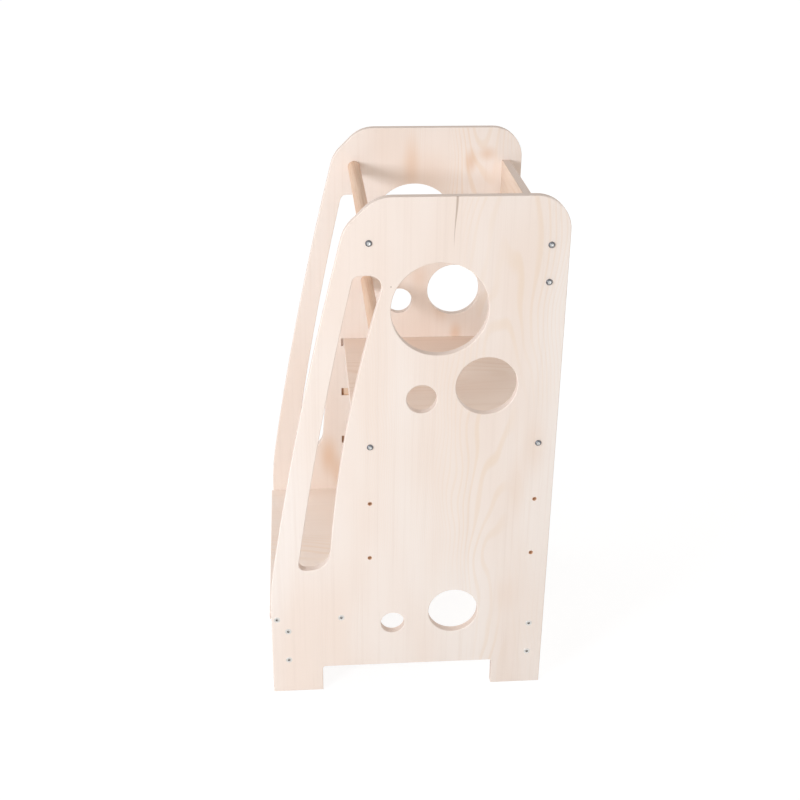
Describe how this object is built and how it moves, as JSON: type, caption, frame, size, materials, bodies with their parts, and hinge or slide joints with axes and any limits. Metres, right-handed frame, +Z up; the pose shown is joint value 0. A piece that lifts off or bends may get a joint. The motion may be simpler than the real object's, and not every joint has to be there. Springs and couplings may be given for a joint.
{
  "type": "toddler kitchen helper stool",
  "caption": "Plywood kitchen helper for a toddler: side panels with a grab slot and round holes, a height-adjustable platform, a front step, low rails, a counter slat and entry dowels.",
  "frame": {"origin": "on the floor, in the middle of the stool's box", "axes": "+Z up; -Y towards the entry side, with the step; +Y towards the counter, with the slat; +X towards the right side panel"},
  "size_m": [0.464, 0.478, 0.9],
  "materials": {
    "birch_plywood": "clear matt lacquer on birch plywood, edges eased",
    "beech_dowel": "clear matt lacquer on a turned beech bar",
    "steel_bolt": "plated steel button-head bolt",
    "steel_screw": "bright zinc countersunk screw",
    "zinc_insert": "zinc threaded insert"
  },
  "bodies": {
    "root": {"platform": "birch_plywood", "front_step": "birch_plywood", "front_lower_rail": "birch_plywood", "rear_lower_rail": "birch_plywood", "rear_top_slat": "birch_plywood", "top_entry_dowel": "beech_dowel", "lower_entry_dowel": "beech_dowel", "right_side_panel": "birch_plywood", "right_dowel_bolt": "steel_bolt", "right_slat_bolts": "steel_bolt", "right_platform_bolts": "steel_bolt", "right_step_screws": "steel_screw", "right_front_rail_screws": "steel_screw", "right_rear_rail_screws": "steel_screw", "right_dowel_insert": "zinc_insert", "right_slat_inserts": "zinc_insert", "right_platform_inserts": "zinc_insert", "left_side_panel": "birch_plywood", "left_dowel_bolt": "steel_bolt", "left_slat_bolts": "steel_bolt", "left_platform_bolts": "steel_bolt", "left_step_screws": "steel_screw", "left_front_rail_screws": "steel_screw", "left_rear_rail_screws": "steel_screw", "left_dowel_insert": "zinc_insert", "left_slat_inserts": "zinc_insert", "left_platform_inserts": "zinc_insert"}
  },
  "joints": []
}
